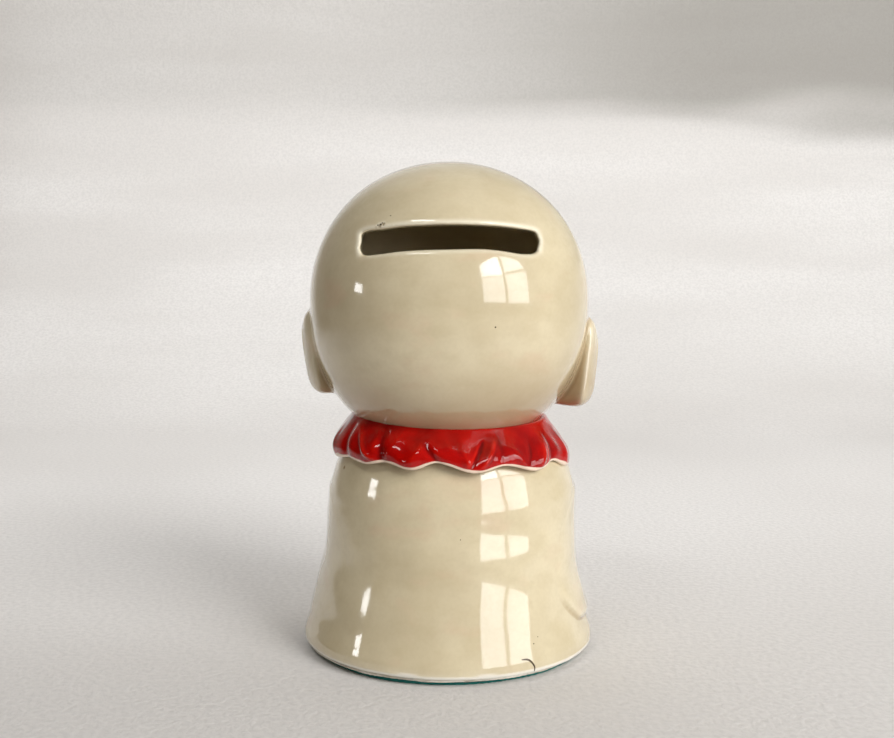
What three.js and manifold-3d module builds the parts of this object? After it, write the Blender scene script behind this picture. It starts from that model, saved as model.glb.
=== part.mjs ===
// A ceramic coin bank in the form of a small bald figure in a long robe.
// The hollow head sits on a hollow robe, and a frilled collar hides the joint between them.
// Coins go in through a slot in the back of the head, and come out through a hole in the floor,
// which a soft plug closes from below.
// Millimetres, +Z up, origin at the centre of the base. The figure faces -Y, so the slot faces +Y.
import * as THREE from "three";
import { ConvexGeometry } from "three/addons/geometries/ConvexGeometry.js";
import { mergeVertices } from "three/addons/utils/BufferGeometryUtils.js";
import Module from "manifold-3d";

const wasm = await Module();
wasm.setup();

// ---- Driving dimensions ------------------------------------------------------------------

const HEIGHT = 115;
const WALL = 4; // thickness of the cast walls
const JOIN = 0.3; // layer of joining slip between two pieces
const FAR = 60; // further than any surface, for cutters that pass right through

const HEAD = { width: 33, depth: 32, centre: 82, skullPower: 2.1, jawDrop: 34.4, jawPower: 2.2, neck: 55.2 };
const INNER_JAW_RISE = 0.75; // keeps the neck opening one wall inside the jaw
const NOSE = { y: -31, z: 73.6, width: 2.9, depth: 3.1, height: 3.6 };

const SLOT = { length: 39.6, height: 5.4, middle: 97.5, arch: 1.3, corner: 1.4 };

const EAR = { reach: 35.8, rim: 1.2, rootX: 27.5, rootY: 1.5, rootReach: 9.5 };
const LEFT_EAR = { bottom: 60, top: 80.8 };
const RIGHT_EAR = { bottom: 57.3, top: 79.4 }; // set by hand, so a little lower than the other

// Outline of the robe as [radius, height], from the foot up to the neck.
const ROBE = [
  [34.5, 1.8],
  [34.8, 3.8],
  [33.9, 6.4],
  [32.8, 9.2],
  [31.7, 13],
  [30.9, 17.5],
  [30.2, 22.5],
  [29.8, 29],
  [29.5, 35],
  [28.9, 40],
  [27.7, 44],
  [25.3, 48.2],
  [22.7, 51.6],
  [21.4, 54.9],
];
const ROBE_STEPS = 18; // steps up the outline
const ROBE_WAIST_DEPTH = 0.94; // depth over width at the waist; the foot is round

const COLLAR = { top: 54.7, hem: 46.8, topThickness: 1.2, hemThickness: 1.2, belly: 2.6 };
const COLLAR_BIB = 6.5; // how much lower the hem hangs in front
const FRILL = { count: 12, depth: 0.8, wave: 1.1 };

const SLEEVE_THICKNESS = 1.2;
const ELBOW = [25, -11, 21];
const WRIST = [8.2, -28.2, 27];
const ARM_RADIUS = 4.4;
const HAND = { thickness: 2.6, bottom: 24.6, top: 38.6, back: -26, front: -33.6, rounding: 0.8 };

const FELT = { inner: 24.8, outer: 33.5, thickness: 0.9 };
const FOOT = { inner: 25, outer: 34.1, bottom: 1.0, ledge: 1.5, top: 5.4 };
const FLOOR = { hole: 14, outer: 28.1, bottom: 5.7, thickness: 3.5 };

const PLUG = { stem: 13.7, tip: 13.2, flange: 17.6, bottom: 3.9, seat: 5.4, top: 12 };
const DISH = { rim: 10.6, floor: 9.4, depth: 2.9 };
const GRIP_WIDTH = 3;
const PLUG_WEB = 2.4; // thickness between the dish and the hollow above it
const PLUG_SKIRT = 3; // thickness of the stem's wall

// ---- Materials ---------------------------------------------------------------------------

const paint = (color, roughness) => new THREE.MeshStandardMaterial({ color, roughness, metalness: 0 });
const ivoryGlaze = paint(0xd6c6a4, 0.12);
const redGlaze = paint(0xc4161a, 0.12);
const bareClay = paint(0xf0ebdf, 0.8);
const tealFelt = paint(0x1f5f5a, 0.95);
const softRubber = paint(0xe8e4d8, 0.5);

// ---- Solids ------------------------------------------------------------------------------

function solidOf(geometry) {
  const bare = geometry.index ? geometry.toNonIndexed() : geometry.clone();
  bare.deleteAttribute("normal");
  bare.deleteAttribute("uv");
  const merged = mergeVertices(bare, 1e-4);
  return new wasm.Manifold(
    new wasm.Mesh({
      numProp: 3,
      vertProperties: merged.attributes.position.array,
      triVerts: new Uint32Array(merged.index.array),
    }),
  );
}

function geometryOf(solid) {
  const mesh = solid.getMesh();
  const positions = new Float32Array(mesh.numVert * 3);
  for (let i = 0; i < mesh.numVert; i++) {
    positions.set(mesh.vertProperties.subarray(i * mesh.numProp, i * mesh.numProp + 3), i * 3);
  }
  return new THREE.BufferGeometry()
    .setAttribute("position", new THREE.BufferAttribute(positions, 3))
    .setIndex(new THREE.BufferAttribute(mesh.triVerts, 1));
}

// Turns a profile of [radius, height] pairs about Z, then scales its depth by depthAt(height).
function turned(profile, segments, depthAt = () => 1) {
  const points = profile.map(([r, z]) => new THREE.Vector2(r, z));
  const geometry = new THREE.LatheGeometry(points, segments).rotateX(Math.PI / 2);
  const position = geometry.attributes.position;
  for (let i = 0; i < position.count; i++) {
    position.setY(i, position.getY(i) * depthAt(position.getZ(i)));
  }
  return geometry;
}

// Extrudes an outline given in (x, z), along Y from nearY to farY.
function alongY(shape, nearY, farY) {
  const geometry = new THREE.ExtrudeGeometry(shape, { depth: farY - nearY, bevelEnabled: false });
  return geometry.rotateX(Math.PI / 2).translate(0, farY, 0);
}

// Extrudes an outline given in (y, z), along X from nearX to farX, with its edges rounded.
function alongX(shape, nearX, farX, rounding = 0) {
  const geometry = new THREE.ExtrudeGeometry(shape, {
    depth: farX - nearX - 2 * rounding,
    bevelEnabled: rounding > 0,
    bevelThickness: rounding,
    bevelSize: rounding,
    bevelOffset: -rounding,
    bevelSegments: 2,
  });
  return geometry.rotateX(Math.PI / 2).rotateZ(Math.PI / 2).translate(nearX + rounding, 0, 0);
}

// A closed outline that runs smoothly through the points.
function smoothShape(points) {
  const corners = points.map(([a, b]) => new THREE.Vector3(a, b, 0));
  const curve = new THREE.CatmullRomCurve3(corners, true);
  const smooth = curve.getPoints(points.length * 2).slice(0, -1);
  return new THREE.Shape(smooth.map((p) => new THREE.Vector2(p.x, p.y)));
}

const mirrored = (solid) => solid.mirror([1, 0, 0]);
const { smoothstep, lerp } = THREE.MathUtils;

// ---- Head --------------------------------------------------------------------------------

// Radius of a head at a height: a round skull above its centre, and a fuller jaw below it.
function headRadius(z, width, rise, jawDrop) {
  const above = z >= HEAD.centre;
  const power = above ? HEAD.skullPower : HEAD.jawPower;
  const share = Math.min(1, Math.abs(z - HEAD.centre) / (above ? rise : jawDrop));
  return width * (1 - share ** power) ** (1 / power);
}

// Points from the bottom up to the crown on the axis.
function headOutline(width, rise, jawDrop, bottom, jawSteps, skullSteps) {
  const heights = [];
  for (let i = 0; i < jawSteps; i++) {
    heights.push(lerp(bottom, HEAD.centre, i / jawSteps));
  }
  for (let i = 0; i <= skullSteps; i++) {
    heights.push(HEAD.centre + rise * Math.sin((i / skullSteps) * (Math.PI / 2)));
  }
  const outline = heights.map((z) => [headRadius(z, width, rise, jawDrop), z]);
  outline[outline.length - 1][0] = 0;
  return outline;
}

const headDepth = () => HEAD.depth / HEAD.width;
const SKULL_RISE = HEIGHT - HEAD.centre;

// The outer skin of the head as a plain solid, grown by an amount all round.
function headSkin(grow, bottom = HEAD.neck) {
  const outline = headOutline(HEAD.width + grow, SKULL_RISE + grow, HEAD.jawDrop + grow, bottom, 8, 10);
  return solidOf(turned([[0, bottom], ...outline], 48, headDepth));
}

const slotMiddle = (x) => SLOT.middle - SLOT.arch * (x / (SLOT.length / 2)) ** 2;

// The slot's outline in (x, z): a long bar with cut corners, arched so that its middle stands higher.
function slotShape() {
  const end = SLOT.length / 2;
  const half = SLOT.height / 2;
  const steps = 8;
  const edge = (sign) =>
    Array.from({ length: steps + 1 }, (_, i) => {
      const x = lerp(SLOT.corner - end, end - SLOT.corner, i / steps);
      return [x, slotMiddle(x) + sign * half];
    });
  const side = (sign, up) => [sign * end, slotMiddle(end) + up * (half - SLOT.corner)];
  const points = [...edge(-1), side(1, -1), side(1, 1), ...edge(1).reverse(), side(-1, 1), side(-1, -1)];
  return new THREE.Shape(points.map(([x, z]) => new THREE.Vector2(x, z)));
}

function headShell() {
  const outline = headOutline(HEAD.width, SKULL_RISE, HEAD.jawDrop, HEAD.neck, 7, 11);
  const innerJaw = HEAD.jawDrop - INNER_JAW_RISE;
  const inner = headOutline(HEAD.width - WALL, SKULL_RISE - WALL, innerJaw, HEAD.neck, 6, 8);
  const shell = solidOf(turned([...outline, ...inner.reverse(), outline[0]], 44, headDepth));
  const nose = new THREE.SphereGeometry(1, 16, 10);
  nose.scale(NOSE.width, NOSE.depth, NOSE.height).translate(0, NOSE.y, NOSE.z);
  const slot = alongY(slotShape(), HEAD.depth / 4, FAR);
  return shell.add(solidOf(nose)).subtract(solidOf(slot));
}

// The left ear is a wedge: it spreads from a thin round rim to a broad root inside the head.
function leftEar({ bottom, top }) {
  const middle = (bottom + top) / 2;
  const half = (top - bottom) / 2 - EAR.rim;
  const reach = EAR.reach - EAR.rim;
  const points = [];
  const bead = new THREE.SphereGeometry(EAR.rim, 8, 6).attributes.position;
  for (let i = 0; i <= 14; i++) {
    const angle = lerp(-Math.PI / 2, Math.PI / 2, i / 14);
    const x = lerp(28.5, reach, Math.abs(Math.cos(angle)) ** 0.55);
    const z = middle + half * Math.sign(angle) * Math.abs(Math.sin(angle)) ** 0.7;
    for (let k = 0; k < bead.count; k++) {
      points.push(new THREE.Vector3().fromBufferAttribute(bead, k).add(new THREE.Vector3(x, 0, z)));
    }
  }
  for (let i = 0; i < 20; i++) {
    const angle = (i / 20) * 2 * Math.PI;
    const y = EAR.rootY + EAR.rootReach * Math.cos(angle);
    points.push(new THREE.Vector3(EAR.rootX, y, middle + 0.75 * half * Math.sin(angle)));
  }
  return solidOf(new ConvexGeometry(points)).subtract(headSkin(JOIN));
}

// ---- Robe --------------------------------------------------------------------------------

const robeCurve = new THREE.SplineCurve(ROBE.map(([r, z]) => new THREE.Vector2(r, z)));
const robeOutline = robeCurve.getPoints(ROBE_STEPS).map((p) => [p.x, p.y]);

// Depth over width at a height: round at the foot, flatter at the waist, rounder at the neck.
function robeDepth(z) {
  const waist = lerp(1, ROBE_WAIST_DEPTH, smoothstep(z, 5, 26));
  return lerp(waist, 0.97, smoothstep(z, 42, 54));
}

function robeRadius(z) {
  const above = robeOutline.findIndex(([, height]) => height >= z);
  if (above <= 0) {
    return robeOutline[above === 0 ? 0 : robeOutline.length - 1][0];
  }
  const [lowR, lowZ] = robeOutline[above - 1];
  const [highR, highZ] = robeOutline[above];
  return lerp(lowR, highR, (z - lowZ) / (highZ - lowZ));
}

function robeShell() {
  const inner = robeOutline.map(([r, z]) => [r - WALL, z]).reverse();
  return solidOf(turned([...robeOutline, ...inner, robeOutline[0]], 48, robeDepth));
}

// The robe as a plain solid, grown sideways by an amount, and a little past both its ends.
function robeSkin(grow) {
  const bottom = ROBE[0][1] - 1;
  const top = ROBE[ROBE.length - 1][1] + 1;
  const sides = robeOutline.map(([r, z]) => [r + grow, z]);
  const first = [sides[0][0], bottom];
  const last = [sides[sides.length - 1][0], top];
  return solidOf(turned([[0, bottom], first, ...sides, last, [0, top]], 48, robeDepth));
}

// ---- Collar ------------------------------------------------------------------------------

// The frilled collar lies on the shoulders. It is closed: out along its top face, and back under it.
function collar() {
  const around = FRILL.count * 8;
  const down = 5;
  const hemDrop = (angle) => COLLAR_BIB * ((1 - Math.sin(angle)) / 2) ** 2;
  const frill = (angle) => -Math.cos(FRILL.count * angle);
  const rings = [];
  for (const outside of [true, false]) {
    for (let k = 0; k <= down; k++) {
      const t = outside ? k / down : 1 - k / down;
      rings.push({ t, outside });
    }
  }
  const positions = [];
  for (let i = 0; i < around; i++) {
    const angle = (i / around) * 2 * Math.PI;
    const hem = COLLAR.hem - hemDrop(angle) - FRILL.wave * frill(angle) * 0.5;
    for (const { t, outside } of rings) {
      const z = lerp(COLLAR.top, hem, t);
      const inner = robeRadius(z) + JOIN;
      const thickness = lerp(COLLAR.topThickness, COLLAR.hemThickness, t);
      const belly = COLLAR.belly * Math.sin(Math.PI * t) * (1 - 0.35 * t);
      const radius = inner + (outside ? thickness + belly + FRILL.depth * t * t * (0.4 + 0.6 * frill(angle)) : 0);
      positions.push(radius * Math.cos(angle), radius * Math.sin(angle) * robeDepth(z), z);
    }
  }
  const index = [];
  const n = rings.length;
  for (let i = 0; i < around; i++) {
    const next = (i + 1) % around;
    for (let k = 0; k < n; k++) {
      const below = (k + 1) % n;
      const [a, b, c, d] = [i * n + k, i * n + below, next * n + below, next * n + k];
      index.push(a, b, c, a, c, d);
    }
  }
  return new THREE.BufferGeometry()
    .setAttribute("position", new THREE.Float32BufferAttribute(positions, 3))
    .setIndex(index);
}

// ---- Arms --------------------------------------------------------------------------------

// A round rod with round ends, between two points.
function rod(from, to, radius) {
  const start = new THREE.Vector3(...from);
  const end = new THREE.Vector3(...to);
  const along = end.clone().sub(start);
  const turn = new THREE.Quaternion().setFromUnitVectors(
    new THREE.Vector3(0, 1, 0),
    along.clone().normalize(),
  );
  const middle = start.add(end).multiplyScalar(0.5);
  return new THREE.CapsuleGeometry(radius, along.length(), 4, 14)
    .applyQuaternion(turn)
    .translate(middle.x, middle.y, middle.z);
}

// The left sleeve: cloth that lies on the robe's side, and the forearm that leads to the hands.
function leftSleeve() {
  const fromTheFront = smoothShape([
    [3.4, 32],
    [9, 36.5],
    [20, 38.5],
    [42, 37],
    [42, 7],
    [33, 6],
    [22, 9],
    [12, 14.5],
    [5, 22],
  ]);
  const fromTheSide = smoothShape([
    [-42, 4],
    [-10, 5.6],
    [12, 6],
    [17, 11.5],
    [16.5, 18],
    [12, 27],
    [3, 36],
    [-10, 40],
    [-42, 42],
  ]);
  const cloth = solidOf(alongY(fromTheFront, -FAR, FAR))
    .intersect(solidOf(alongX(fromTheSide, 0, FAR)))
    .intersect(robeSkin(SLEEVE_THICKNESS));
  const forearm = solidOf(rod(ELBOW, WRIST, ARM_RADIUS));
  return cloth.add(forearm).subtract(robeSkin(JOIN));
}

// The left hand, held upright and flat against the right one.
function leftHand() {
  const { bottom, top, back, front } = HAND;
  const outline = smoothShape([
    [back, bottom],
    [front + 1, bottom + 0.6],
    [front, bottom + 4.5],
    [front + 0.5, bottom + 9],
    [front + 1.8, top - 0.6],
    [front + 3.2, top],
    [back - 1.6, top - 3],
    [back, bottom + 7],
  ]);
  const palm = JOIN / 2;
  const hand = alongX(outline, palm, palm + HAND.thickness, HAND.rounding);
  return solidOf(hand).subtract(robeSkin(JOIN));
}

// ---- Base and plug -----------------------------------------------------------------------

const ring = (inner, outer, bottom, top) => [
  [inner, bottom],
  [outer, bottom],
  [outer, top],
  [inner, top],
  [inner, bottom],
];

const footRing = () =>
  turned(
    [
      [FOOT.inner, FOOT.bottom],
      [FOOT.outer, FOOT.bottom],
      [FOOT.outer, FOOT.ledge],
      [FLOOR.outer + 1, FOOT.ledge],
      [FLOOR.outer + 1, FOOT.top],
      [FOOT.inner, FOOT.top],
      [FOOT.inner, FOOT.bottom],
    ],
    48,
  );

const floorDisc = () => turned(ring(FLOOR.hole, FLOOR.outer, FLOOR.bottom, FLOOR.bottom + FLOOR.thickness), 40);

const feltRing = () => turned(ring(FELT.inner, FELT.outer, 0, FELT.thickness), 48);

// The plug: a flange that seats under the floor, a stem through the hole, and a grip bar in a dish.
function plug() {
  const dishTop = PLUG.bottom + DISH.depth;
  const profile = [
    [0, dishTop],
    [DISH.floor, dishTop],
    [DISH.rim, PLUG.bottom],
    [PLUG.flange - 0.4, PLUG.bottom],
    [PLUG.flange, PLUG.bottom + 0.4],
    [PLUG.flange, PLUG.seat],
    [PLUG.stem, PLUG.seat],
    [PLUG.stem, PLUG.top - 2.5],
    [PLUG.tip, PLUG.top],
    [PLUG.stem - PLUG_SKIRT, PLUG.top],
    [PLUG.stem - PLUG_SKIRT, dishTop + PLUG_WEB],
    [0, dishTop + PLUG_WEB],
  ];
  const body = solidOf(turned(profile, 40));
  const grip = new THREE.BoxGeometry(2 * DISH.rim, GRIP_WIDTH, DISH.depth + 1);
  grip.translate(0, 0, PLUG.bottom + (DISH.depth + 1) / 2);
  return body.add(solidOf(grip));
}

// ---- Assembly ----------------------------------------------------------------------------

const bank = new THREE.Group();

function place(name, shape, material, parent = bank) {
  const geometry = shape.isBufferGeometry ? shape : geometryOf(shape);
  const mesh = new THREE.Mesh(geometry, material);
  mesh.name = name;
  parent.add(mesh);
}

const figure = new THREE.Group();
bank.add(figure);
place("head_shell", headShell(), ivoryGlaze, figure);
place("left_ear", leftEar(LEFT_EAR), ivoryGlaze, figure);
place("right_ear", mirrored(leftEar(RIGHT_EAR)), ivoryGlaze, figure);
place("collar_frill", collar(), redGlaze, figure);
place("robe_shell", robeShell(), ivoryGlaze, figure);
place("left_sleeve", leftSleeve(), ivoryGlaze, figure);
place("right_sleeve", mirrored(leftSleeve()), ivoryGlaze, figure);
place("left_hand", leftHand(), ivoryGlaze, figure);
place("right_hand", mirrored(leftHand()), ivoryGlaze, figure);

const base = new THREE.Group();
bank.add(base);
place("floor_disc", floorDisc(), bareClay, base);
place("foot_ring", footRing(), bareClay, base);
place("felt_ring", feltRing(), tealFelt, base);
place("stopper_plug", plug(), softRubber, base);

export default bank;
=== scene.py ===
"""The looks of a glazed ceramic coin bank: a small bald figure in a robe with a red frilled collar.

Every piece but the collar and the painted lines is a field: a function of x, y and z in millimetres that
gives the distance to its surface, negative inside. Fields blend the way wet clay does. OpenVDB turns each
into a mesh, its points are slid onto the exact surface, and the curvature is stored on them, so that glaze
can pool in the hollows and thin out over the edges, and painted shade can darken the hollows.

Millimetres, +Z up, the figure faces -Y. Meshes are scaled to metres when they are made.
"""

import math

import bpy
import numpy as np
import openvdb
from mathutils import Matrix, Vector


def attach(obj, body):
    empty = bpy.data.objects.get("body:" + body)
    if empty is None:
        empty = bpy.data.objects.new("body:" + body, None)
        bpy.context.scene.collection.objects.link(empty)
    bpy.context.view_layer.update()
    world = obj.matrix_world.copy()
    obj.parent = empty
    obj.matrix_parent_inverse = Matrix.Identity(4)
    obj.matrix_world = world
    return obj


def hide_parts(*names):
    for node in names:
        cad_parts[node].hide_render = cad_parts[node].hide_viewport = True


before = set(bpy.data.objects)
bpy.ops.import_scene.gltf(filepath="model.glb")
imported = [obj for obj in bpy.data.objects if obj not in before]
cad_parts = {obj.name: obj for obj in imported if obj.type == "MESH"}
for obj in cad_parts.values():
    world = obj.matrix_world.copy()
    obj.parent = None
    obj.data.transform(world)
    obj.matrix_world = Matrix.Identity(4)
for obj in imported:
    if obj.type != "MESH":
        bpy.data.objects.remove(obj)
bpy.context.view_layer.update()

MM = 0.001

# ---- Sizes, which follow the CAD model's ----

HEAD_WIDTH = 33.0
HEAD_DEPTH = 32.0
HEAD_CENTRE = 82.0
SKULL_POWER = 2.1
JAW_DROP = 34.4
JAW_POWER = 2.2
NECK = 55.2
NECK_SINK = 0.9  # how far the head's edge dips into the collar
COLLAR_TILT = 0.022  # how far the neck and the collar's top rise per mm towards +X
WALL = 4.0

# The robe's outline: heights, and the radius at each.
ROBE_Z = [-2, 1, 2.2, 3.8, 6.2, 9, 13, 17.5, 22.5, 28]
ROBE_Z += [35, 37.5, 39.5, 41.5, 44, 48.2, 51.6, 54.9, 58]
ROBE_R = [33.6, 34.5, 34.8, 34.75, 34.0, 33.05, 31.95, 31.0, 30.25, 29.8]
ROBE_R += [29.55, 29.4, 29.05, 28.5, 27.7, 25.3, 22.7, 21.4, 21]
# Its depth over its width: heights, and the ratio at each.
ROBE_DEPTH_Z = [0, 5, 9, 14, 20, 27, 33, 39, 44, 49, 54, 58]
ROBE_DEPTH = [1.0, 0.995, 0.994, 0.996, 0.982, 0.962, 0.92, 0.893, 0.895, 0.925, 0.965, 0.97]
ROBE_BOTTOM = 1.6
ROBE_TOP = 54.9

# Each ear: its lowest and highest z, how far it leans outwards per mm of height, how much further out it
# stands, and where the valley behind it lies and how far that leans.
LEFT_EAR = (60.0, 80.8, 0.09, 0.0, 31.6, 0.11)
RIGHT_EAR = (57.3, 79.4, 0.03, 0.6, 31.3, 0.24)
EAR_REACH = 35.8
EAR_ROOT = 28.3
EAR_POWER = 3.4  # how square its outline is: 2 would be an ellipse

# ---- Distances and blends ----


def smooth_min(a, b, k):
    """The lower of two distances, with the crease between them filleted over about k."""
    h = np.maximum(k - np.abs(a - b), 0) / k
    return np.minimum(a, b) - h * h * h * k / 6


def smooth_max(a, b, k):
    return -smooth_min(-a, -b, k)


def smoothstep(low, high, value):
    t = np.clip((value - low) / (high - low), 0, 1)
    return t * t * (3 - 2 * t)


def lerp(a, b, t):
    return a + (b - a) * t


def ellipsoid(x, y, z, centre, radii):
    a, b, c = ((v - m) / r for v, m, r in zip((x, y, z), centre, radii))
    size = np.sqrt(a * a + b * b + c * c)
    slope = np.sqrt((a / radii[0]) ** 2 + (b / radii[1]) ** 2 + (c / radii[2]) ** 2)
    return size * (size - 1) / np.maximum(slope, 1e-6)


def capsule(x, y, z, start, end, start_radius, end_radius):
    """A rod with round ends, whose radius changes from one end to the other."""
    along = np.subtract(end, start)
    px, py, pz = x - start[0], y - start[1], z - start[2]
    t = np.clip((px * along[0] + py * along[1] + pz * along[2]) / along.dot(along), 0, 1)
    distance = np.sqrt((px - t * along[0]) ** 2 + (py - t * along[1]) ** 2 + (pz - t * along[2]) ** 2)
    return distance - lerp(start_radius, end_radius, t)


def outline_distance(u, v, points):
    """Distance to a closed outline of (u, v) points, negative inside it."""
    nearest = np.inf
    inside = False
    for (au, av), (bu, bv) in zip(points, np.roll(points, -1, axis=0)):
        eu, ev = bu - au, bv - av
        wu, wv = u - au, v - av
        t = np.clip((wu * eu + wv * ev) / (eu * eu + ev * ev), 0, 1)
        nearest = np.minimum(nearest, (wu - t * eu) ** 2 + (wv - t * ev) ** 2)
        crosses = ((av > v) != (bv > v)) & ((wu * ev - eu * wv) * np.sign(ev) < 0)
        inside = inside ^ crosses
    return np.where(inside, -1.0, 1.0) * np.sqrt(nearest)


OUTLINE_STEPS = 5  # points on a smoothed outline for each point given


def smooth_outline(points):
    """A closed Catmull-Rom curve through the points."""
    p = np.array(points, float)
    before, after, later = np.roll(p, 1, 0), np.roll(p, -1, 0), np.roll(p, -2, 0)
    rows = []
    for t in np.arange(OUTLINE_STEPS) / OUTLINE_STEPS:
        bend = (2 * before - 5 * p + 4 * after - later) * t**2
        twist = (3 * p - before - 3 * after + later) * t**3
        rows.append(0.5 * (2 * p + (after - before) * t + bend + twist))
    return np.stack(rows, 1).reshape(-1, 2)


def smooth_curve(knots, values, at):
    """A smooth curve through values at rising knots (cubic Hermite), read at any numbers."""
    knots, values = np.array(knots, float), np.array(values, float)
    slopes = np.gradient(values, knots)
    i = np.clip(np.searchsorted(knots, at) - 1, 0, len(knots) - 2)
    width = knots[i + 1] - knots[i]
    t = np.clip((at - knots[i]) / width, 0, 1)
    start = (1 + 2 * t) * (1 - t) ** 2 * values[i] + t * (1 - t) ** 2 * width * slopes[i]
    end = t * t * (3 - 2 * t) * values[i + 1] + t * t * (t - 1) * width * slopes[i + 1]
    return start + end


WAVES = 8  # waves that add up to a ripple


def ripple(x, y, z, scale, seed):
    """Smooth noise of about -1 to 1 whose bumps are about scale millimetres wide."""
    random = np.random.default_rng(seed)
    total = 0
    for _ in range(WAVES):
        direction = random.normal(size=3)
        direction *= 2 * math.pi / (scale * random.uniform(1.4, 3.0)) / np.linalg.norm(direction)
        phase = random.uniform(0, 2 * math.pi)
        total = total + np.sin(x * direction[0] + y * direction[1] + z * direction[2] + phase)
    return total / math.sqrt(WAVES)


# ---- Head ----


def rounded(across, up, power):
    """How far out a place is in an oval that reaches 1 both ways: an ellipse at power 2, squarer above."""
    return (across**power + up**power) ** (1 / power)


def head_egg(x, y, z, inset=0.0):
    """A round skull over a fuller jaw, as a plain solid, inset all round by an amount."""
    width = HEAD_WIDTH - inset
    y = y * HEAD_WIDTH / HEAD_DEPTH
    rise = z - HEAD_CENTRE
    drop = JAW_DROP - inset * 0.2
    across = np.sqrt(x * x + y * y) / width
    upper = rounded(across, np.maximum(rise, 0) / width, SKULL_POWER)
    lower = rounded(across, np.maximum(-rise, 0) / drop, JAW_POWER)
    size = np.where(rise > 0, upper, lower)
    reach = np.sqrt(x * x + y * y + rise * rise)
    return reach * (1 - 1 / np.maximum(size, 1e-3))


def head_skin(x, y, z):
    """The head's plain surface with the slight waviness of hand-poured clay."""
    return head_egg(x, y, z) + 0.07 * ripple(x, y, z, 11, seed=3)


def head_front_y(x, z):
    """The y of the head's front surface at a place on the face."""
    drop = np.clip((HEAD_CENTRE - z) / JAW_DROP, 0, 1)
    jaw = (1 - drop**JAW_POWER) ** (1 / JAW_POWER)
    rise = np.clip((z - HEAD_CENTRE) / HEAD_WIDTH, 0, 1)
    skull = (1 - rise**SKULL_POWER) ** (1 / SKULL_POWER)
    radius = HEAD_WIDTH * np.where(z > HEAD_CENTRE, skull, jaw)
    return -np.sqrt(np.clip(radius**2 - x * x, 0, None)) * HEAD_DEPTH / HEAD_WIDTH


# The upper and the lower edge of the slot: x, and the height at each.
SLOT_TOP_X = [-20, -18.4, -14.5, -7, 0, 6, 10.6, 14.3, 17.4, 20]
SLOT_TOP_Z = [98.4, 98.8, 99.4, 100.0, 100.1, 99.9, 99.6, 99.1, 98.8, 98.2]
SLOT_BOTTOM_X = [-20, -17.9, -15.6, -12.2, -8.9, 0, 6.2, 10.5, 15, 20]
SLOT_BOTTOM_Z = [94.3, 93.9, 93.9, 94.4, 94.8, 94.8, 94.6, 94.3, 93.7, 93.1]
SLOT_END = 19.4
SLOT_CLIMB = 0.1  # how steeply the upper wall climbs outwards
SLOT_LIP = 0.8  # how far the lip rounds over
SLOT_FRONT = 8  # the cut goes through everything behind this y, so through the back wall only


def slot_field(x, y, z, head):
    """The coin slot: cut by hand, so its edges waver, and its upper wall climbs outwards."""
    upper = smooth_curve(SLOT_TOP_X, SLOT_TOP_Z, x) + np.clip(head, -WALL, 0) * SLOT_CLIMB
    lower = smooth_curve(SLOT_BOTTOM_X, SLOT_BOTTOM_Z, x)
    ends = np.abs(x + 0.12 * np.sin(z * 2.1)) - SLOT_END
    wide = smooth_max(np.maximum(z - upper, lower - z), ends, 2.4)
    return np.maximum(wide, SLOT_FRONT - y)


SIDE_SWELLINGS = [  # nostril, closed lid and cheek: centre, radii and blend
    ((2.0, -30.6, 72.0), (1.35, 1.6, 1.3), 1.4),
    ((11.6, -28.3, 79.2), (5.6, 2.0, 3.9), 4.5),
    ((15, -23.8, 68.8), (8, 4.0, 7), 7.0),
]
MIDDLE_SWELLINGS = [  # upper lip, lower lip and chin
    ((0, -28.9, 66.9), (3.4, 1.2, 0.95), 1.2),
    ((0, -28.5, 65.1), (2.7, 1.3, 1.05), 1.2),
    ((0, -25.2, 60.3), (5.0, 2.4, 3.0), 4.0),
]


def face_relief(x, y, z, head):
    """A small nose, lips, chin and closed lids, raised out of the head."""
    nose = ellipsoid(x, y, z, (0, -31.0, 73.4), (2.5, 2.7, 3.4))
    bridge = capsule(x, y, z, (0, -29.6, 80), (0, -31.2, 74.5), 1.2, 1.9)
    head = smooth_min(head, smooth_min(nose, bridge, 2.5), 3.0)
    for side in (-1, 1):
        for (out, front, up), radii, blend in SIDE_SWELLINGS:
            head = smooth_min(head, ellipsoid(x, y, z, (side * out, front, up), radii), blend)
    for centre, radii, blend in MIDDLE_SWELLINGS:
        head = smooth_min(head, ellipsoid(x, y, z, centre, radii), blend)
    return head


def head_outside(x, y, z):
    """The head as a solid, with its face."""
    return face_relief(x, y, z, head_skin(x, y, z))


CHIPS = [  # x, z and size of the rough spots round the slot
    (15.4, 99.9, 0.55),
    (14.6, 100.2, 0.45),
    (16.2, 99.6, 0.35),
    (15.0, 100.5, 0.22),
    (-18.3, 98.9, 0.35),
    (-19.4, 97.6, 0.3),
    (19.3, 96.4, 0.3),
    (19.1, 94.6, 0.25),
]


def head_field(x, y, z):
    """The hollow head, open at the neck, with its slot."""
    head = head_outside(x, y, z)
    lip = smooth_max(head, -slot_field(x, y, z, head), SLOT_LIP * 2)
    for chip_x, chip_z, size in CHIPS:
        centre = (chip_x, -head_front_y(chip_x, chip_z) + 0.15, chip_z)
        lip = smooth_max(lip, -ellipsoid(x, y, z, centre, (size, size, size)), 0.25)
    hollow = smooth_max(lip, -head_egg(x, y, z, WALL), 1.2)
    return smooth_max(hollow, NECK - NECK_SINK + COLLAR_TILT * x - z, 0.8)


# ---- Ears ----

EAR_RIM = [  # the middle line of the rolled rim, as x, y, and height above the middle of the ear
    (31.2, -7.6, 2.6),
    (32.3, -6.3, 6.0),
    (33.4, -3.8, 7.4),
    (34.1, -1.7, 6.4),
    (34.4, -0.7, 3.4),
    (34.2, -0.6, -1.0),
    (33.8, -1.1, -5.0),
    (32.8, -2.4, -7.6),
]
EAR_RIM_RADIUS = 0.75
EAR_RIM_POINTS = 22


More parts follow.
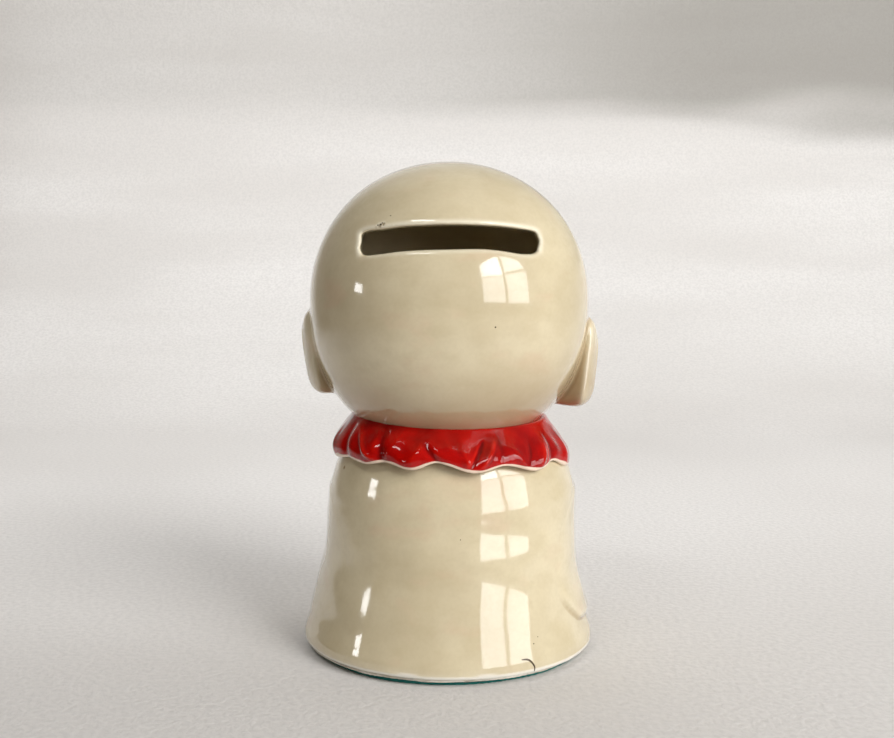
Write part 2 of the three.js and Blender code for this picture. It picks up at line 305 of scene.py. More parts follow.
def ear_rim(x, y, z, middle):
    """The rolled rim, as short rods along its middle line."""
    at = np.linspace(0, len(EAR_RIM) - 1, EAR_RIM_POINTS)
    line = np.stack([smooth_curve(range(len(EAR_RIM)), column, at) for column in zip(*EAR_RIM)], 1)
    line[:, 2] += middle
    rim = np.inf
    for start, end in zip(line, line[1:]):
        rim = np.minimum(rim, capsule(x, y, z, start, end, EAR_RIM_RADIUS, EAR_RIM_RADIUS))
    return rim


def ear_shape(x, y, z, side, low, high, lean, shift, valley_x, valley_lean):
    """A flap with a thin round rim, a valley behind it next to the head, and a bowl in front."""
    middle, half = (low + high) / 2, (high - low) / 2
    x = x * side - shift - lean * (z - middle - 4)
    across = np.maximum(x - EAR_ROOT, 0) / (EAR_REACH - EAR_ROOT)
    up = np.abs(z - middle) / (half * np.sqrt(np.clip(1 - (y / 17) ** 2, 0.3, 1)))
    reach = np.sqrt((x - EAR_ROOT) ** 2 + (z - middle) ** 2)
    outline = reach * (1 - 1 / np.maximum(rounded(across, up, EAR_POWER), 1e-3))
    valley = (y - 5.2) * 0.6 - (x - valley_x - valley_lean * (z - middle)) * 0.8
    slope = smooth_max((x - EAR_REACH) * 0.86 + (y - 0.1) * 0.51, valley, 2.6)
    front = (x - 35.3) * 0.80 - (y + 1.2) * 0.60
    wedge = smooth_max(slope, front, 2.2)
    ear = smooth_max(outline, wedge, 4.6)
    bowl = ellipsoid(x, y, z, (34.4, -4.9, middle + 1.0), (3.6, 3.2, half * 0.66))
    ear = smooth_max(ear, -bowl, 1.0)
    ear = smooth_min(ear, ear_rim(x, y, z, middle), 1.6)
    inner_fold = capsule(x, y, z, (32.6, -3.4, middle + 4.0), (32.0, -4.4, middle - 3.4), 0.5, 0.9)
    front_flap = ellipsoid(x, y, z, (31.2, -7.6, middle - 1.4), (1.4, 1.1, 1.9))
    return smooth_min(smooth_min(ear, inner_fold, 1.8), front_flap, 1.4)


def luted_on(base, shape, blend):
    """The part of a shape that swells out of a base's surface, as a piece that dives back into it."""
    joined = smooth_min(base, shape, blend) + 0.02
    return smooth_max(smooth_max(joined, shape - blend, 0.2), -base - 1.3, 0.4)


def ear_field(side, *sizes):
    """An ear as a piece of its own, blended into the head."""

    def field(x, y, z):
        return luted_on(head_skin(x, y, z), ear_shape(x, y, z, side, *sizes), 2.0)

    return field


# ---- Robe ----


def robe_depth(z):
    """Depth over width: round at the foot, flatter at the waist, rounder at the neck."""
    return smooth_curve(ROBE_DEPTH_Z, ROBE_DEPTH, z)


def robe_lean(z):
    """How far the robe was pressed over towards -X at a height, before it was fired."""
    middle = 0.15 + 0.55 * smoothstep(12, 26, z) + 0.45 * smoothstep(30, 39, z)
    return middle - 0.85 * smoothstep(44, 54, z)


WALL_SLOPE = 0.98  # distance to the robe's sloping wall over the distance measured level


def robe_tube(x, y, z):
    """Distance to the robe's plain outer surface."""
    across = np.sqrt((x + robe_lean(z)) ** 2 + (y / robe_depth(z)) ** 2)
    return (across - smooth_curve(ROBE_Z, ROBE_R, z)) * WALL_SLOPE


def robe_outside(x, y, z):
    """The robe's outer surface with its overlap in front and its hand-made waviness."""
    tube = robe_tube(x, y, z) + 0.16 * ripple(x, y, z, 15, seed=8) + 0.05 * ripple(x, y, z, 6, seed=5)
    edge = 3.5 - 0.16 * (30 - z)
    overlap = smoothstep(-0.7, 0.7, edge - x) * (1 - smoothstep(16, 30, -x))
    in_front = smoothstep(4, 14, -y) * (1 - smoothstep(36, 44, z))
    return tube - 0.75 * overlap * in_front


def robe_field(x, y, z):
    """The hollow robe, open above and below, with a rounded foot."""
    outside = robe_outside(x, y, z)
    ends = smooth_max(ROBE_BOTTOM + 0.008 * x - z, z - ROBE_TOP, 0.5)
    solid = smooth_max(outside, ends, 1.3)
    return smooth_max(solid, -(robe_tube(x, y, z) + WALL), 0.8)


# A sleeve's outline seen from the front, as x and z, and seen from its side, as y and z.
SLEEVE_FRONT = smooth_outline(
    [(3.6, 31.5), (9, 36), (20, 38.5), (42, 37), (42, 8.6), (33, 8), (22, 9.6), (12, 14.5), (5.4, 22)]
)
SLEEVE_SIDE = smooth_outline(
    [(-42, 5), (-10, 7.2), (9, 8.2), (14.5, 10.6), (18, 16), (17, 23), (13, 31), (4, 38)]
    + [(-10, 41), (-42, 42)]
)
LEFT_CORNER = -0.4  # thickness of a sleeve's lower corner; below 0 it doesn't stand out of the robe
RIGHT_CORNER = 1.15
ELBOW = (25.5, -11, 21)
WRIST = (8.6, -27.8, 27)


def sleeve_shape(x, y, z, side, robe):
    """Cloth lying on the robe's side, thicker towards its lower corner, and the forearm in it."""
    x = x * side
    behind = smoothstep(-14, 11, y)
    fade = smoothstep(12, 22, z)
    corner = RIGHT_CORNER if side < 0 else LEFT_CORNER
    thickness = lerp(1.35, lerp(corner, -0.5, fade), behind)
    drape = 0.35 * np.sin((y * 0.9 - z * 0.35 + x * 0.3) * 0.55) * smoothstep(0, -12, y)
    outline = smooth_max(outline_distance(x, z, SLEEVE_FRONT), outline_distance(y, z, SLEEVE_SIDE), 3.0)
    cloth = smooth_max(robe - thickness - drape, outline, 2.2)
    forearm = capsule(x, y, z, ELBOW, WRIST, 4.9, 4.3)
    cuff = ellipsoid(x, y, z, (4.6, -30.4, 28.8), (2.7, 2.6, 3.3))
    return smooth_max(smooth_min(cloth, forearm, 5.0), -cuff, 1.0)


def sleeve_field(side):
    """A sleeve as a piece of its own, blended into the robe it lies on."""

    def field(x, y, z):
        robe = robe_outside(x, y, z)
        piece = luted_on(robe, sleeve_shape(x, y, z, side, robe), 1.6)
        return smooth_max(piece, 0.4 - side * x, 0.3)

    return field


FINGERS = [  # base, tip and radius of each
    ((1.3, -32.3, 29.8), (1.05, -31.7, 35.4), 0.95),
    ((1.4, -31.0, 30), (1.1, -30.4, 37.1), 1.05),
    ((1.45, -29.6, 30), (1.1, -29.1, 37.8), 1.1),
    ((1.45, -28.1, 30), (1.1, -27.8, 36.9), 1.05),
]


def hand_field(side):
    """A small hand with its palm flat on the other one's, the fingers pointing up."""

    def field(x, y, z):
        x = x * side
        hand = ellipsoid(x, y, z, (1.2, -29.9, 29.2), (1.75, 3.5, 4.2))
        for base, tip, radius in FINGERS:
            hand = smooth_min(hand, capsule(x, y, z, base, tip, radius, radius * 0.78), 0.5)
        thumb = capsule(x, y, z, (2.1, -28.6, 28.6), (1.5, -27.6, 34.2), 1.05, 0.8)
        hand = smooth_min(hand, thumb, 0.7)
        wrist = capsule(x, y, z, (1.6, -29.4, 28), (6, -29.8, 26.6), 2.2, 2.4)
        hand = smooth_min(hand, wrist, 1.6)
        return smooth_max(hand, 0.08 - x, 0.35)

    return field


# ---- Base and plug ----


def ring_part(across, z, inner, outer, bottom, top, side_round, end_round, round_all):
    """A ring with a square section, from its distance across and its height, with its edges rounded."""
    sides = smooth_max(across - outer, inner - across, side_round)
    return smooth_max(sides, smooth_max(z - top, bottom - z, end_round), round_all)


def ring_field(inner, outer, bottom, top, rounding, waver=0.0):
    """A flat ring with rounded edges, whose outline wavers a little."""

    def field(x, y, z):
        across = np.sqrt(x * x + y * y) + waver * ripple(x, y, 0 * z, 7, seed=21)
        return ring_part(across, z, inner, outer, bottom, top, rounding, rounding / 2, rounding)

    return field


def foot_field(x, y, z):
    """The unglazed foot: a thick ring with a thin ledge under the robe's edge."""
    across = np.sqrt(x * x + y * y)
    thick = ring_part(across, z, 25.0, 29.0, 1.0, 5.4, 0.8, 0.8, 1.0)
    ledge = ring_part(across, z, 25.4, 33.9, 1.0, 1.6, 0.5, 0.3, 0.5)
    return smooth_min(thick, ledge, 0.8) + 0.05 * ripple(x, y, z, 5, seed=31)


def plug_field(x, y, z):
    """The soft plug: a flange under the floor, a stem with a bead, and a grip bar in a dish."""
    across = np.sqrt(x * x + y * y)
    flange = smooth_max(across - 17.5, smooth_max(z - 5.3, 3.9 - z, 0.6), 0.9)
    stem = smooth_max(across - 13.55 + 0.05 * np.maximum(z - 9.5, 0) ** 2 / 2, z - 12, 1.0)
    stem = smooth_max(stem, 4 - z, 0.5)
    bead = np.sqrt((across - 13.3) ** 2 + (z - 10.2) ** 2) - 0.55
    body = smooth_min(smooth_min(flange, stem, 0.8), bead, 0.6)
    body = smooth_max(body, -smooth_max(across - 10.6, 9.3 - z, 1.2), 0.8)
    dish = smooth_max(across - 10.6 + 0.25 * (z - 3.9), z - 6.8, 1.6)
    grip = smooth_max(np.abs(y) - 1.5 - 0.5 * np.exp(-((z - 3.9) ** 2) / 0.5), 3.95 - z, 0.7)
    body = smooth_max(body, -smooth_max(dish, -grip, 0.9), 0.7)
    ring_mark = np.abs(across - 15.2) - 0.25
    return smooth_max(body, -smooth_max(ring_mark, z - 4.15, 0.3), 0.25)


# ---- From field to mesh ----


def gradient(field, p, step):
    columns = []
    for axis in range(3):
        ahead, behind = p.copy(), p.copy()
        ahead[:, axis] += step
        behind[:, axis] -= step
        columns.append((field(*ahead.T) - field(*behind.T)) / (2 * step))
    return np.stack(columns, 1)


def curvature(field, p, step):
    """How sharply the surface bends: above 0 over edges, below 0 in hollows, per millimetre."""
    total = -6 * field(*p.T)
    for axis in range(3):
        for move in (-step, step):
            moved = p.copy()
            moved[:, axis] += move
            total += field(*moved.T)
    return total / step**2


def slide(field, points, rounds, step, most=np.inf):
    """Points moved onto a field's surface in a few rounds, each of them by at most so much a round."""
    for _ in range(rounds):
        slope = gradient(field, points, step)
        away = field(*points.T) / np.maximum((slope**2).sum(1), 0.25)
        points = points - np.clip(away, -most, most)[:, None] * slope
    return points


def surface_of(field, low, high, step):
    """Points and quads of the field's surface, with each point slid onto it."""
    axes = [np.arange(a, b + step, step) for a, b in zip(low, high)]
    x, y, z = axes[0][:, None, None], axes[1][None, :, None], axes[2][None, None, :]
    shape = [len(a) for a in axes]
    values = np.broadcast_to(field(x, y, z), shape)
    grid = openvdb.FloatGrid(3 * step)
    grid.copyFromArray(np.clip(values, -3 * step, 3 * step).astype(np.float32))
    points, quads = grid.convertToQuads()
    points = slide(field, points.astype(float) * step + np.array(low), 4, 0.04, step)
    corners = points[quads.astype(int)]
    volume = np.einsum("ij,ij->i", corners[:, 0], np.cross(corners[:, 1], corners[:, 2])).sum()
    volume += np.einsum("ij,ij->i", corners[:, 0], np.cross(corners[:, 2], corners[:, 3])).sum()
    return points, quads[:, ::-1] if volume < 0 else quads


def band_faces(rows, columns, closed=False):
    """Quads between rows of points, each row a ring. Closed joins the last row to the first."""
    faces = []
    for row in range(rows if closed else rows - 1):
        below = (row + 1) % rows
        for i in range(columns):
            j = (i + 1) % columns
            corners = [(row, i), (row, j), (below, j), (below, i)]
            faces.append([r * columns + c for r, c in corners])
    return faces


def add_object(name, data):
    thing = bpy.data.objects.new(name, data)
    bpy.context.scene.collection.objects.link(thing)
    return thing


def new_piece(name, points, faces, body, material, replaces=()):
    """A smooth mesh object in metres that rides on a body."""
    mesh = bpy.data.meshes.new(name)
    mesh.from_pydata(np.asarray(points) * MM, [], [list(map(int, face)) for face in faces])
    mesh.validate()
    mesh.shade_smooth()
    mesh.materials.append(material)
    piece = add_object(name, mesh)
    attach(piece, body)
    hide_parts(*replaces)
    return piece


def store(piece, name, values):
    """Keeps one number for each point of a mesh, for its material to read."""
    attribute = piece.data.attributes.new(name, "FLOAT", "POINT")
    attribute.data.foreach_set("value", np.asarray(values, np.float32))


def field_piece(name, field, low, high, step, body, slot, material, replaces):
    """A field as a piece, with the sharpness of its edges and hollows stored for its material."""
    points, quads = surface_of(field, low, high, step)
    piece = new_piece(name, points, quads, body, material, replaces)
    bend = curvature(field, points, 0.5)
    store(piece, "edge", smoothstep(0.2, 1.2, bend))
    # Depth of hollows, which the materials darken: partly as pooled glaze, partly as painted shade.
    store(piece, "hollow", smoothstep(0.06, 0.9, -bend))
    normals = gradient(field, points, 0.06)
    normals /= np.maximum(np.linalg.norm(normals, axis=1, keepdims=True), 1e-6)
    piece.data.normals_split_custom_set_from_vertices(normals)
    return piece, points


# ---- Frilled collar ----

# The notches of the frill: degrees from +Y towards +X, and how far the hem lifts at each.
NOTCHES = [-170, -141, -112, -84, -57, -24.5, 8, 33.5, 60, 95, 128, 161]
NOTCH_RISES = [1.6, 1.7, 1.5, 1.2, 1.7, 1.5, 1.9, 0.9, 0.5, 1.4, 1.7, 1.5]
FOLDS = [  # angle, lean per collar height, height along the collar, half length, width, depth
    (46, -24, 0.6, 0.36, 2.6, -0.75),
    (36, -4, 0.58, 0.5, 3.0, 0.6),
    (29, 8, 0.5, 0.5, 3.4, -0.35),
    (17, 10, 0.62, 0.42, 4.2, -0.55),
    (9.5, -10, 0.7, 0.4, 2.6, 0.55),
    (1, -12, 0.4, 0.35, 3.6, -0.35),
    (-7, -6, 0.66, 0.35, 3.2, -0.4),
    (-12.5, 14, 0.6, 0.36, 1.9, 0.65),
    (-17.5, 16, 0.62, 0.36, 2.4, -0.65),
    (-25, 4, 0.5, 0.5, 3.2, 0.45),
    (-33, -8, 0.7, 0.3, 3.0, -0.4),
    (-41, 12, 0.6, 0.34, 2.4, 0.35),
    (-48, 12, 0.66, 0.32, 3.2, -0.6),
    (-57, 6, 0.6, 0.45, 3.4, 0.5),
    (63, -6, 0.6, 0.5, 3.6, 0.55),
]
# The folds that go on round the front are more alike: angle, lean and height of each.
RIDGES = [(80, -10, 0.6), (113, -8, 0.65), (176, 8, 0.6), (-72, 10, 0.6), (-128, 10, 0.6)]
GROOVES = [(97, 6, 0.65), (129, 5, 0.65), (162, -5, 0.65), (-85, -5, 0.6), (-113, 5, 0.65)]
GROOVES += [(-142, -6, 0.65), (-171, 5, 0.65)]
FOLDS += [(*place, 0.4, 4.0, -0.4) for place in RIDGES]
FOLDS += [(*place, 0.4, 3.4, 0.5) for place in GROOVES]
FOLD_DEPTH = 1.2  # all folds are deeper and narrower than the table says, by these factors
FOLD_WIDTH = 0.85
# The collar's outline: the share of the way from its top to its hem, and the radius at each.
COLLAR_SHARES = [0, 0.12, 0.24, 0.41, 0.57, 0.72, 0.86, 1.0]
COLLAR_RADII = [23.25, 24.0, 25.0, 26.4, 27.5, 28.1, 28.2, 28.0]
COLLAR_HEM = 45.9
COLLAR_TOP = 56.15
COLLAR_DEPTH = 0.95  # depth over width
BIB = 6.5  # how much lower the hem hangs in front
NAPE_DIP = 1.3  # how much lower the top edge runs at the nape
HEM_START = 0.922  # share of the way down where the pale hem starts
COLLAR_COLUMNS = 720
COLUMN_GAP = 0.24  # mm between two columns


def lobe_at(angle):
    """0 at a notch of the frill and 1 at the fullest part of a lobe, and how far the hem lifts there."""
    edges = np.array([NOTCHES[-1] - 360, *NOTCHES, NOTCHES[0] + 360], float)
    rises = np.array([NOTCH_RISES[-1], *NOTCH_RISES, NOTCH_RISES[0]])
    i = np.clip(np.searchsorted(edges, angle, side="right") - 1, 0, len(edges) - 2)
    share = (angle - edges[i]) / (edges[i + 1] - edges[i])
    lobe = 0.5 - 0.5 * np.cos(2 * math.pi * share**0.85)
    return lobe, (1 - lobe) * np.where(share < 0.5, rises[i], rises[i + 1])


def collar_point(angle, t, inset):
    """A point of the collar at an angle in degrees, t of the way from its top to its hem."""
    turn = np.radians(angle)
    lobe, lift = lobe_at(angle)
    drop = BIB * ((1 - np.cos(turn)) / 2) ** 2
    x = np.sin(turn) * 27
    nape = ((1 + np.cos(turn)) / 2) ** 2.5
    top = COLLAR_TOP + COLLAR_TILT * x - NAPE_DIP * nape
    hem = COLLAR_HEM + 0.034 * x + lift - drop
    z = lerp(top, hem, t)
    radius = smooth_curve(COLLAR_SHARES, COLLAR_RADII, t) - inset - 1.0 * nape * (1 - t) ** 2
    radius = radius + (0.6 * lobe - 0.3) * smoothstep(0.3, 0.95, t)
    for fold, lean, height, reach, width, depth in FOLDS:
        away = (angle - fold - lean * (t - height) + 180) % 360 - 180
        along = np.clip(1 - ((t - height) / reach) ** 2, 0, 1)
        radius = radius - FOLD_DEPTH * depth * along * np.exp(-((away / width / FOLD_WIDTH) ** 2))
    side = np.sin(turn * 6 + 1.3) * np.sin(turn * 7 + 0.4)
    radius = radius + 0.2 * side * smoothstep(0.1, 0.6, t)
    small = ripple(np.sin(turn) * 27, np.cos(turn) * 27, t * 9, 3.4, seed=44)
    radius = radius + 0.13 * small * smoothstep(0.05, 0.3, t)
    y = np.cos(turn) * radius * COLLAR_DEPTH
    y = y - 1.6 * smoothstep(0.3, 1, -np.cos(turn)) * t
    return np.sin(turn) * radius - lerp(0.3, 1.0, t), y, z


def collar_piece(material):
    """A closed frilled band: down its outside, round the hem, and up its inside."""
    finer = (0.885, 0.9, 0.915, 0.93, 0.945, 0.96)
    outside = [(t, 0.0) for t in (*np.linspace(0.03, 0.87, 30), *finer)]
    hem = [(0.978, 0.06), (0.993, 0.22), (1.0, 0.5), (0.995, 0.8), (0.98, 1.0)]
    inside = [(t, 1.1) for t in np.linspace(0.94, 0.06, 16)]
    top = [(0.03, 1.9), (0.0, 1.5), (0.0, 0.9), (0.004, 0.4), (0.012, 0.12)]
    rows = outside + hem + inside + top
    angles = np.linspace(-180, 180, COLLAR_COLUMNS, endpoint=False)
    points = np.stack([np.stack(collar_point(angles, t, inset), 1) for t, inset in rows])
    faces = band_faces(len(rows), COLLAR_COLUMNS, closed=True)
    places = points.reshape(-1, 3)
    piece = new_piece("collar", places, faces, "figure", material, ["collar_frill"])
    fold = np.gradient(np.gradient(points[:, :, 0] ** 2 + points[:, :, 1] ** 2, axis=1), axis=1)
    fold = -fold / 2 / np.hypot(points[:, :, 0], points[:, :, 1]) / COLUMN_GAP**2
    store(piece, "edge", smoothstep(0.1, 0.9, fold).ravel())
    # Depth of the creases between folds, which the red glaze darkens: partly as pooled glaze, partly as
    # painted shade.
    store(piece, "hollow", smoothstep(0.1, 0.9, -fold).ravel())
    t = np.array([row[0] for row in rows])[:, None]
    ragged = 0.012 * ripple(*np.moveaxis(points, 2, 0), 2.2, seed=17)
    store(piece, "hem", smoothstep(-0.008, 0.012, t - HEM_START + ragged).ravel())


# ---- Painted lines ----


LINE_SIDES = 10
LINE_STEP = 0.22


def line_mesh(field, path, widths, height):
    """A thin raised line that follows a path over a field's surface, as points and faces."""
    path = np.array(path, float)
    lengths = np.concatenate([[0], np.cumsum(np.linalg.norm(np.diff(path, axis=0), axis=1))])
    at = np.linspace(0, lengths[-1], max(6, int(lengths[-1] / LINE_STEP)))
    line = np.stack([smooth_curve(lengths, path[:, k], at) for k in range(3)], 1)
    share = at / lengths[-1]
    half = np.interp(share, np.linspace(0, 1, len(widths)), widths) / 2
    half = half * np.sqrt(np.clip(1 - np.abs(2 * share - 1) ** 14, 0.004, 1))
    line = slide(field, line, 6, 0.1)
    up = gradient(field, line, 0.3)
    up /= np.linalg.norm(up, axis=1, keepdims=True)
    forward = np.gradient(line, axis=0)
    side = np.cross(forward, up)
    side /= np.linalg.norm(side, axis=1, keepdims=True)
    turn = np.arange(LINE_SIDES) * 2 * math.pi / LINE_SIDES
    rings = line[:, None] + side[:, None] * (half[:, None] * np.cos(turn))[..., None]
    lift = height * np.minimum(half / half.max() * 1.6, 1)
    rings = rings + up[:, None] * (lift[:, None] * np.sin(turn))[..., None]
    faces = band_faces(len(line), LINE_SIDES)
    faces.append(list(range(LINE_SIDES))[::-1])
    faces.append([(len(line) - 1) * LINE_SIDES + i for i in range(LINE_SIDES)])
    return rings.reshape(-1, 3), faces


def lines_piece(name, field, lines, height, material):
    """Several painted lines as one piece. A line is a path and its widths along the way."""
    points, faces = [], []
    for path, widths in lines:
        start = sum(len(p) for p in points)
        line_points, line_faces = line_mesh(field, path, widths, height)
        points.append(line_points)
        faces += [[start + i for i in face] for face in line_faces]
    new_piece(name, np.concatenate(points), faces, "figure", material)


def face_path(places):
    """Places on the face, given as (x, z), brought near the head's front surface."""
    return [(x, float(head_front_y(x, z)) - 0.5, z) for x, z in places]


def robe_path(places):
    """Places on the robe's back, given as (x, z), brought near its surface."""
    rows = []
    for x, z in places:
        radius = float(smooth_curve(ROBE_Z, ROBE_R, np.array(z)))
        rows.append((x, math.sqrt(radius**2 - x**2) * float(robe_depth(z)), z))
    return rows


def nape_path(places):
    """Places on the back of the head, given as (x, z), brought near its surface."""
    return [(x, -float(head_front_y(x, z)), z) for x, z in places]


def both_sides(places):
    return [places, [(-x, z) for x, z in places]]


BROW = [(6.2, 87.2), (9.5, 88.6), (13, 88.7), (16.5, 87.2)]
LID = [(6.6, 78.4), (8.8, 77.0), (11.6, 76.3), (14.4, 76.9), (16.6, 78.6)]
LIP_PARTING = [(-3.9, 66.2), (-1.8, 65.9), (0, 66.1), (1.8, 65.9), (3.9, 66.2)]
UPPER_LIP = [(-3.4, 66.7), (-1.5, 67.2), (0, 66.95), (1.5, 67.2), (3.4, 66.7)]
LOWER_LIP = [(-2.7, 65.55), (0, 65.15), (2.7, 65.55)]
GLAZE_CRACK = [(-16.2, 5.0), (-17.9, 4.7), (-18.9, 3.7), (-19.3, 2.9), (-19.2, 1.9)]
ROBE_SPECKS = [(-19.2, 7.7, 0.3), (-20.1, 8.9, 0.22), (-2.9, 31.2, 0.25)]
HEAD_SPECKS = [(-10.1, 78.3, 0.4), (12.7, 102.0, 0.3)]
HEAD_SPECKS += [(14.8, 100.1, 0.45), (14.5, 100.45, 0.25), (15.5, 99.95, 0.3)]  # by the slot's chips


# ---- Materials ----


def srgb(red, green, blue):
    """A colour given as on screen, 0 to 255, in the linear form that shaders take."""
    shares = [c / 255 for c in (red, green, blue)]
    linear = [s / 12.92 if s < 0.04045 else ((s + 0.055) / 1.055) ** 2.4 for s in shares]
    return (*linear, 1.0)


def add_node(tree, kind, inputs=(), **settings):
    """A shader node. Each of its inputs is given a value, or another node's output to link to."""
    node = tree.nodes.new(kind)
    for key, value in settings.items():
        setattr(node, key, value)
    for socket, value in dict(inputs).items():
        if isinstance(value, bpy.types.NodeSocket):
            tree.links.new(value, node.inputs[socket])
        else:
            node.inputs[socket].default_value = value
    return node


class Shading:
    """A material being wired up, in object coordinates."""

    def __init__(self, name, **shader_values):
        self.material = bpy.data.materials.new(name)
        self.material.use_nodes = True
        self.tree = self.material.node_tree
        self.shader = self.tree.nodes["Principled BSDF"]
        for socket, value in shader_values.items():
            self.shader.inputs[socket.replace("_", " ")].default_value = value
        self.place = self.node("ShaderNodeTexCoord").outputs["Object"]

    def node(self, kind, inputs=(), **settings):
        return add_node(self.tree, kind, inputs, **settings)

    def noise(self, size, detail=2.0, stretch=(1, 1, 1)):
        """Noise whose features are about size millimetres across, from 0 to 1."""
        place = self.place
        if stretch != (1, 1, 1):
            place = self.node("ShaderNodeMapping", {"Vector": place, "Scale": stretch}).outputs[0]
        inputs = {"Vector": place, "Scale": 1 / (size * MM), "Detail": detail}
        return self.node("ShaderNodeTexNoise", inputs).outputs["Fac"]

    def range(self, value, low, high, to_low=0.0, to_high=1.0):
        inputs = {"Value": value, "From Min": low, "From Max": high, "To Min": to_low, "To Max": to_high}
        return self.node("ShaderNodeMapRange", inputs, interpolation_type="SMOOTHSTEP").outputs[0]

    def patches(self, size, detail, low, high, to_low=0.0, to_high=1.0, stretch=(1, 1, 1)):
        """Soft patches of noise: to_low where the noise is below low, to_high where it is above high."""
        return self.range(self.noise(size, detail, stretch), low, high, to_low, to_high)

    def stored(self, name, most=1.0):
        """The number stored on the mesh under a name, times most."""
        value = self.node("ShaderNodeAttribute", attribute_name=name).outputs["Fac"]
        return value if most == 1.0 else self.math("MULTIPLY", value, most)

    def math(self, operation, first, second):
        return self.node("ShaderNodeMath", {0: first, 1: second}, operation=operation).outputs[0]

    def mix(self, share, first, second):
        inputs = {0: share, 6: first, 7: second}
        return self.node("ShaderNodeMix", inputs, data_type="RGBA").outputs[2]

    def paint(self, share, first, second, layers=()):
        """Sets the base colour: a mix of two, with other colours laid over it in turn by their shares."""
        colour = self.mix(share, srgb(*first), srgb(*second))
        for cover, over in layers:
            colour = self.mix(cover, colour, srgb(*over))
        self.set("Base Color", colour)

    def specks(self, size, share):
        """Scattered round specks, size millimetres apart: 1 in a speck and 0 outside."""
        inputs = {"Vector": self.place, "Scale": 1 / (size * MM)}
        cells = self.node("ShaderNodeTexVoronoi", inputs)
        near = self.range(cells.outputs["Distance"], 0.04, 0.11, 1.0, 0.0)
        chosen = self.node("ShaderNodeSeparateColor", {0: cells.outputs["Color"]}).outputs[0]
        return self.math("MULTIPLY", near, self.math("LESS_THAN", chosen, share))

    def set(self, socket, value):
        self.tree.links.new(value, self.shader.inputs[socket])

    def bump(self, height, distance, strength):
        inputs = {"Height": height, "Distance": distance * MM, "Strength": strength}
        self.set("Normal", self.node("ShaderNodeBump", inputs).outputs[0])


def glazed(name, **values):
    """Clear shiny glaze over a colour: a sharp coat over a slightly softer base."""
    settings = {"IOR": 1.5, "Coat_Weight": 0.7, "Coat_Roughness": 0.035, "Coat_IOR": 1.5, **values}
    return Shading(name, **settings)


def cream_glaze():
    """Warm ivory glaze: browner in the hollows, partly where it pools and partly as painted shade, darker
    low on the head and ears as painted shade, paler over edges, and bare clay below its lower edge.
    """
    shading = glazed("cream glaze")
    clouds = shading.patches(9, 4, 0.42, 0.7, 0.0, 0.35)
    strokes = shading.patches(6, 5, 0.42, 0.7, 0.0, 0.3, (1, 1, 1.7))
    blush = shading.patches(15, 3, 0.54, 0.72, 0.0, 0.5, (1, 1, 1.8))
    grain = shading.patches(0.9, 3, 0.3, 0.75, 0.0, 0.12)
    layers = [
        (clouds, (224, 212, 182)),
        (strokes, (200, 184, 148)),
        (blush, (216, 190, 160)),
        (grain, (188, 172, 138)),
        # Browner in the hollows: partly glaze that pools there, partly painted shade.
        (shading.stored("hollow", 0.55), (158, 132, 92)),
        (shading.stored("edge", 0.85), (242, 234, 212)),
        (shading.specks(6, 0.03), (150, 122, 84)),
        # Painted shade: darker low on the head and ears, towards the collar.
        (shading.stored("low", 0.55), (166, 140, 104)),
        (shading.stored("bare"), (238, 233, 222)),
        (shading.stored("inside"), (236, 222, 190)),
    ]
    shading.paint(shading.patches(26, 3, 0.35, 0.68), (222, 209, 177), (208, 194, 162), layers)
    gloss = shading.patches(5, 3, 0.3, 0.7, 0.07, 0.13)
    shading.set("Roughness", shading.math("ADD", gloss, shading.stored("bare", 0.6)))
    wave = shading.math("ADD", shading.noise(7, 2), shading.math("MULTIPLY", shading.noise(1.6, 2), 0.06))
    shading.bump(wave, 0.12, 0.5)
    return shading.material


def red_glaze():
    """Deep red glaze, darker in the hollows, partly where it pools and partly as painted shade, brighter
    over the folds, with a pinkish white hem.
    """
    shading = glazed("red glaze", Specular_IOR_Level=0.15, Coat_Weight=0.6, Coat_Roughness=0.02)
    layers = [
        # Darker in the hollows: partly pooled glaze, partly painted shade.
        (shading.stored("hollow", 0.75), (96, 4, 6)),
        (shading.stored("edge", 0.5), (208, 30, 10)),
        (shading.stored("hem"), (242, 218, 198)),
    ]
    shading.paint(shading.patches(6, 3, 0.35, 0.7), (178, 6, 3), (148, 2, 2), layers)
    shading.set("Roughness", shading.patches(3, 3, 0.3, 0.7, 0.08, 0.16))
    shading.bump(shading.noise(2.6, 2), 0.12, 0.45)
    return shading.material


def bare_clay():
    """Unglazed white clay, matt and slightly grainy, with small dark specks."""
    shading = Shading("bare clay", IOR=1.45)
    layers = [(shading.specks(2.2, 0.12), (150, 136, 112))]
    shading.paint(shading.patches(4, 4, 0.35, 0.7), (236, 231, 220), (216, 208, 192), layers)
    shading.set("Roughness", shading.patches(2, 3, 0.3, 0.7, 0.7, 0.9))
    shading.bump(shading.noise(0.5, 4), 0.1, 0.6)
    return shading.material


def teal_felt():
    """Pressed wool felt: matted fibres, a soft sheen and uneven dye."""
    shading = Shading("teal felt", IOR=1.4, Sheen_Weight=0.5, Sheen_Roughness=0.5)
    shading.shader.inputs["Sheen Tint"].default_value = srgb(120, 190, 180)
    fibres = shading.noise(0.5, 6, (1, 1, 3))
    layers = [(shading.patches(9, 3, 0.4, 0.7, 0, 0.4), (16, 92, 92))]
    shading.paint(shading.range(fibres, 0.3, 0.7), (10, 78, 74), (32, 122, 114), layers)
    shading.set("Roughness", shading.range(fibres, 0.3, 0.7, 0.85, 1.0))
    shading.bump(fibres, 0.3, 0.8)
    return shading.material


